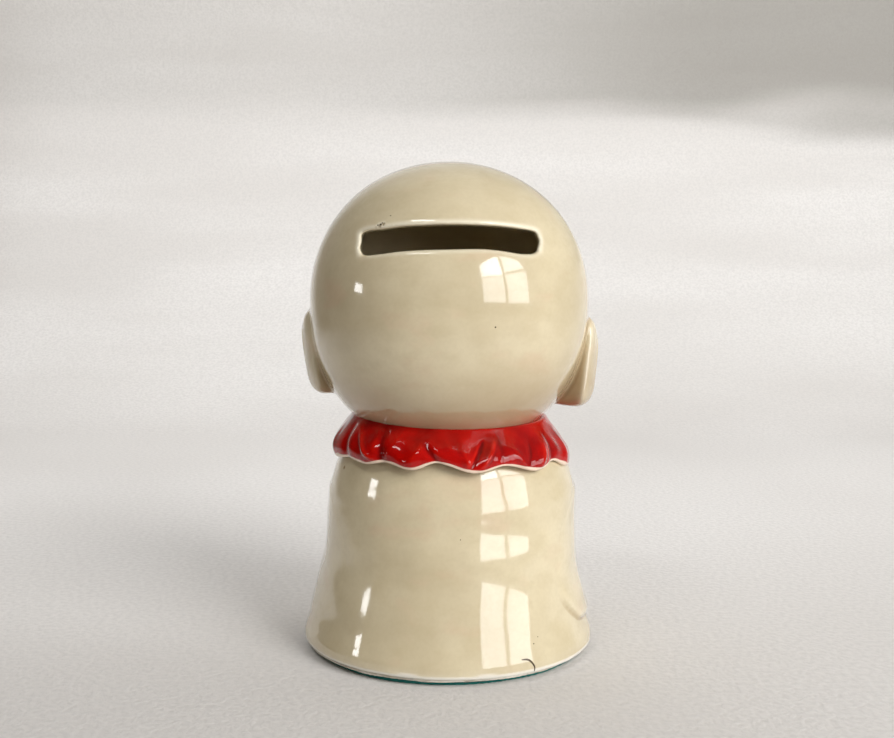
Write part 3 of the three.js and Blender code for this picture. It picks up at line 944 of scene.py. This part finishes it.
def plug_rubber():
    """Milky soft plastic: satin, a little see-through, with painted shade in its hollows."""
    shading = Shading("plug rubber", IOR=1.5, Subsurface_Weight=0.25, Subsurface_Scale=0.003)
    shading.shader.inputs["Subsurface Radius"].default_value = (1.0, 0.8, 0.6)
    # Painted shade in the hollows.
    layers = [(shading.stored("hollow", 0.6), (160, 150, 130))]
    shading.paint(shading.patches(8, 3, 0.35, 0.7), (222, 217, 202), (206, 200, 184), layers)
    shading.set("Roughness", shading.patches(1.5, 4, 0.3, 0.7, 0.38, 0.55))
    shading.bump(shading.noise(0.7, 3), 0.05, 0.6)
    return shading.material


def painted(name, light, dark):
    """A brushed underglaze colour: thicker and thinner where the brush went, under the same gloss."""
    shading = glazed(name)
    shading.paint(shading.patches(1.2, 4, 0.3, 0.7), light, dark)
    shading.set("Roughness", shading.patches(2, 3, 0.3, 0.7, 0.12, 0.2))
    shading.bump(shading.noise(0.8, 2), 0.04, 0.5)
    return shading.material


CREAM = cream_glaze()
RED = red_glaze()
CLAY = bare_clay()
FELT = teal_felt()
RUBBER = plug_rubber()
BROW_PAINT = painted("brow paint", (62, 46, 36), (38, 28, 24))
LIP_PAINT = painted("lip paint", (176, 72, 58), (148, 48, 42))
CRACK_STAIN = painted("crack stain", (92, 74, 52), (66, 52, 38))


# ---- The pieces ----


def cream_piece(name, field, low, high, step, replaces, bare_below=None, skin=None):
    """A piece in cream glaze, bare below a height, and paler deep under its skin, so inside its wall."""
    piece, points = field_piece(name, field, low, high, step, "figure", "cream_glaze", CREAM, replaces)
    nowhere = np.zeros(len(points))
    store(piece, "inside", nowhere if skin is None else smoothstep(0.5, 2.2, -skin(*points.T)))
    # Painted shade low on the head and ears: darker below a wavering height.
    height = points[:, 2] + 0.1 * points[:, 0] + 1.2 * ripple(*points.T, 9, seed=6)
    on_head = name == "head" or name.startswith("ear")
    store(piece, "low", 1 - smoothstep(57, 74, height) if on_head else nowhere)
    bare = nowhere
    if bare_below is not None:
        line = bare_below + 0.12 * ripple(*points.T, 4, seed=12)
        bare = 1 - smoothstep(-0.15, 0.15, points[:, 2] - line)
    store(piece, "bare", bare)


STEP = 0.5  # mm between the grid points of the large pieces
EAR_STEP = 0.4
HAND_STEP = 0.3

cream_piece("head", head_field, (-35, -36, 53), (35, 34, 117), STEP, ["head_shell"], skin=head_egg)
cream_piece("ear_left", ear_field(1, *LEFT_EAR), (22, -16, 56), (38, 16, 85), EAR_STEP, ["left_ear"])
right_ear = ear_field(-1, *RIGHT_EAR)
cream_piece("ear_right", right_ear, (-38, -16, 53), (-22, 16, 84), EAR_STEP, ["right_ear"])
cream_piece("robe", robe_field, (-37, -38, 0.5), (37, 37, 56.5), STEP, ["robe_shell"], bare_below=2.6)
cream_piece("sleeve_left", sleeve_field(1), (-1, -38, 2), (37, 22, 46), STEP, ["left_sleeve"])
cream_piece("sleeve_right", sleeve_field(-1), (-37, -38, 2), (1, 22, 46), STEP, ["right_sleeve"])
cream_piece("hand_left", hand_field(1), (-1, -36, 22), (8, -24, 41), HAND_STEP, ["left_hand"])
cream_piece("hand_right", hand_field(-1), (-8, -36, 22), (1, -24, 41), HAND_STEP, ["right_hand"])
collar_piece(RED)

FELT_INNER = 25.0
FELT_OUTER = 32.7
felt_ring = ring_field(FELT_INNER, FELT_OUTER, 0.0, 0.95, 0.4, waver=0.1)
floor_disc = ring_field(14.0, 28.0, 5.7, 9.2, 0.6)
clay = ("figure", "bare_clay", CLAY)
wool = ("figure", "teal_felt", FELT)
rubber = ("stopper", "plug_rubber", RUBBER)
field_piece("foot", foot_field, (-36, -36, -0.5), (36, 36, 7), 0.6, *clay, ["foot_ring"])
field_piece("floor", floor_disc, (-30, -30, 4.5), (30, 30, 10.5), 0.8, *clay, ["floor_disc"])
felt, _ = field_piece("felt", felt_ring, (-35, -35, -0.9), (35, 35, 2), 0.45, *wool, ["felt_ring"])
field_piece("plug", plug_field, (-19, -19, 2.5), (19, 19, 13.5), 0.35, *rubber, ["stopper_plug"])

brows = [(face_path(side), [0.5, 1.1, 1.0, 0.4]) for side in both_sides(BROW)]
lids = [(face_path(side), [0.35, 0.75, 0.8, 0.75, 0.35]) for side in both_sides(LID)]
parting = [(face_path(LIP_PARTING), [0.25, 0.4, 0.4, 0.4, 0.25])]
lips = [(face_path(UPPER_LIP), [0.6, 1.3, 1.1, 1.3, 0.6]), (face_path(LOWER_LIP), [0.8, 1.5, 0.8])]
lines_piece("face_lines", head_outside, brows + lids + parting, 0.1, BROW_PAINT)
lines_piece("lips", head_outside, lips, 0.08, LIP_PAINT)


def speck_line(path_of, x, z, size):
    """A speck in the glaze, as a very short painted line."""
    return path_of([(x, z), (x + size * 0.5, z), (x + size, z + 0.05)]), [size * 0.7, size, size * 0.7]


robe_marks = [speck_line(robe_path, *speck) for speck in ROBE_SPECKS]
robe_marks.append((robe_path(GLAZE_CRACK), [0.22, 0.42, 0.45, 0.4, 0.28]))
lines_piece("robe_marks", robe_outside, robe_marks, 0.05, CRACK_STAIN)
head_marks = [speck_line(nape_path, *speck) for speck in HEAD_SPECKS]
lines_piece("head_marks", head_outside, head_marks, 0.05, CRACK_STAIN)


# ---- Floor, backdrop and light ----

# In metres.
HOLE = 0.031  # radius of a hole under the foot, so that light can reach the underside
FLOOR_REACH = 1.5
CURVE_START = 0.30  # how far from the object, towards -Y, the floor starts to curve up
SWEEP = 0.25  # radius of the curve


def backdrop_material():
    """A pale foam sheet with a fine grain, with painted shade high up towards -X and far out towards +X and
    +Y, and see-through from below.
    """
    shading = Shading("backdrop", IOR=1.35, Roughness=0.75)
    bands = shading.patches(70, 2, 0.3, 0.7, stretch=(0.25, 0.25, 1.5))
    x, y, z = shading.node("ShaderNodeSeparateXYZ", {0: shading.place}).outputs
    high = shading.range(shading.math("ADD", z, shading.math("MULTIPLY", bands, 0.03)), 0.17, 0.22)
    right = shading.range(x, -0.2, 0.12, 0.75, 0.25)
    layers = [
        (shading.patches(1.5, 3, 0.3, 0.75, 0, 0.5), (200, 198, 196)),
        # Painted shade high up, heavier towards -X.
        (shading.math("MULTIPLY", high, right), (136, 133, 126)),
        # Painted shade far out towards +X and +Y.
        (shading.math("MAXIMUM", shading.range(x, 0.25, 0.5), shading.range(y, 0.1, 0.35)), (146, 137, 126)),
    ]
    shading.paint(bands, (214, 211, 208), (226, 224, 222), layers)
    shading.bump(shading.noise(1.5, 3), 0.5, 0.5)
    below = shading.node("ShaderNodeNewGeometry").outputs["Backfacing"]
    clear = shading.node("ShaderNodeBsdfTransparent").outputs[0]
    chooser = shading.node("ShaderNodeMixShader", {0: below, 1: shading.shader.outputs[0], 2: clear})
    shading.tree.links.new(chooser.outputs[0], shading.tree.nodes["Material Output"].inputs["Surface"])
    return shading.material


def make_backdrop():
    """One sheet that lies flat round the object and curves up behind it, with a hole under the foot."""
    columns = 128
    radii = HOLE * (FLOOR_REACH / HOLE) ** np.linspace(0, 1, 60)
    points = []
    for radius in radii:
        for i in range(columns):
            turn = i * 2 * math.pi / columns
            x, y, z = radius * math.cos(turn), radius * math.sin(turn), 0.0
            past = -y - CURVE_START
            if past > 0:
                bend = min(past / SWEEP, math.pi / 2)
                y = -CURVE_START - SWEEP * math.sin(bend)
                z = SWEEP * (1 - math.cos(bend)) + max(past - SWEEP * math.pi / 2, 0)
            points.append((x, y, z))
    faces = [face[::-1] for face in band_faces(len(radii), columns)]
    mesh = bpy.data.meshes.new("backdrop")
    mesh.from_pydata(points, [], faces)
    mesh.shade_smooth()
    mesh.materials.append(backdrop_material())
    add_object("backdrop", mesh)


make_backdrop()

AIM = np.array([0.0, 0.0, 0.085])


def direction(azimuth, elevation):
    """A direction from the object: azimuth from +Y towards -X, elevation above the horizon, in degrees."""
    a, e = math.radians(azimuth), math.radians(elevation)
    return np.array([-math.sin(a) * math.cos(e), math.cos(a) * math.cos(e), math.sin(e)])


def glow(name, azimuth, distance, outline, brightness):
    """A window pane that shines: its outline is given in metres, across towards -X and up, at an azimuth."""
    outwards = direction(azimuth, 0)
    across = np.array([-outwards[1], outwards[0], 0.0])
    corners = [AIM + outwards * distance + across * u + np.array([0, 0, v]) for u, v in outline]
    mesh = bpy.data.meshes.new(name)
    mesh.from_pydata([tuple(c) for c in corners], [], [list(range(len(corners)))])
    material = bpy.data.materials.new(name)
    material.use_nodes = True
    tree = material.node_tree
    tree.nodes.remove(tree.nodes["Principled BSDF"])
    shine = add_node(tree, "ShaderNodeEmission", {"Color": (1, 1, 1, 1), "Strength": brightness})
    tree.links.new(shine.outputs[0], tree.nodes["Material Output"].inputs["Surface"])
    mesh.materials.append(material)
    window = add_object(name, mesh)
    window.visible_camera = False


def area_light(name, place, target, width, height, energy, colour=(1.0, 1.0, 1.0)):
    """A rectangular light that faces a target."""
    light = bpy.data.lights.new(name, "AREA")
    light.shape = "RECTANGLE"
    light.size, light.size_y = width, height
    light.energy = energy
    light.color = colour
    lamp = add_object(name, light)
    lamp.location = place
    lamp.rotation_euler = (Vector(place) - Vector(target)).to_track_quat("Z", "Y").to_euler()
    return lamp


def soft_light(name, place, target, width, height, brightness, colour=(1.0, 1.0, 1.0)):
    """A broad studio light that no glaze reflects."""
    energy = brightness * math.pi * width * height
    lamp = area_light(name, place, target, width, height, energy, colour)
    lamp.visible_glossy = False
    lamp.visible_camera = False


WINDOW = 46  # azimuth of the main window's middle
WINDOW_FAR = 0.9
LEFT_HIGH = [(-0.33, 0.30), (-0.02, 0.30), (-0.02, 0.575), (-0.10, 0.565), (-0.22, 0.53), (-0.33, 0.47)]
RIGHT_HIGH = [(0.02, 0.33), (0.31, 0.36), (0.25, 0.50), (0.16, 0.58), (0.08, 0.615), (0.02, 0.62)]
PANES = [
    ("left low", [(-0.33, 0), (-0.02, 0), (-0.02, 0.285), (-0.33, 0.285)], 4.5),
    ("right low", [(0.02, 0), (0.33, 0), (0.33, 0.33), (0.02, 0.30)], 4.5),
    ("left high", LEFT_HIGH, 9.0),
    ("right high", RIGHT_HIGH, 5.5),
]
for pane, outline, brightness in PANES:
    glow(f"window {pane}", WINDOW, WINDOW_FAR, outline, brightness)
SMALL_WINDOW = [(-0.085, 0.10), (0.085, 0.10), (0.085, 0.22), (-0.085, 0.22)]
glow("small window", -76, 1.3, SMALL_WINDOW, 9.0)
soft_light("key", AIM + direction(43, 31) * 0.82, (0, 0, 0.05), 0.42, 0.42, 5.9, (1.0, 0.98, 0.95))
soft_light("backdrop light", (0.1, -0.15, 0.36), (0.12, -0.45, 0.0), 1.2, 0.25, 2.1)
area_light("ceiling light", AIM + direction(-35, 55), AIM, 0.34, 0.12, 1.4)


def room_light():
    """Dim light from all round, weaker from the +X side, behind a plain pale background."""
    world = bpy.data.worlds.new("room")
    world.use_nodes = True
    tree = world.node_tree
    place = add_node(tree, "ShaderNodeTexCoord").outputs["Generated"]
    x = add_node(tree, "ShaderNodeSeparateXYZ", {0: place}).outputs["X"]
    share = add_node(tree, "ShaderNodeMapRange", {"Value": x, "From Min": -0.9, "From Max": 0.7}).outputs[0]
    colours = {0: share, 6: (0.22, 0.21, 0.195, 1), 7: (0.035, 0.025, 0.014, 1)}
    dim = add_node(tree, "ShaderNodeMix", colours, data_type="RGBA").outputs[2]
    tree.links.new(dim, tree.nodes["Background"].inputs["Color"])
    plain = add_node(tree, "ShaderNodeBackground", {"Color": (0.62, 0.61, 0.59, 1)}).outputs[0]
    seen = add_node(tree, "ShaderNodeLightPath").outputs["Is Camera Ray"]
    lit = tree.nodes["Background"].outputs[0]
    chooser = add_node(tree, "ShaderNodeMixShader", {0: seen, 1: lit, 2: plain})
    tree.links.new(chooser.outputs[0], tree.nodes["World Output"].inputs["Surface"])
    bpy.context.scene.world = world


room_light()
bpy.context.scene.view_settings.view_transform = "Standard"


# ---- Camera ----

PITCH = 5.99  # degrees down
ROLL = 0.3  # degrees
LENS = 48.3  # mm, on a sensor 36 mm wide
CAMERA_PLACE = (0.0004, 0.286, 0.0961)
camera_data = bpy.data.cameras.new("camera")
camera_data.lens = LENS
camera_data.sensor_width = 36
camera = add_object("camera", camera_data)
camera.location = CAMERA_PLACE
camera.rotation_euler = (math.radians(90 - PITCH), 0, math.radians(180))
camera.rotation_euler.rotate_axis("Z", math.radians(ROLL))
bpy.context.scene.camera = camera
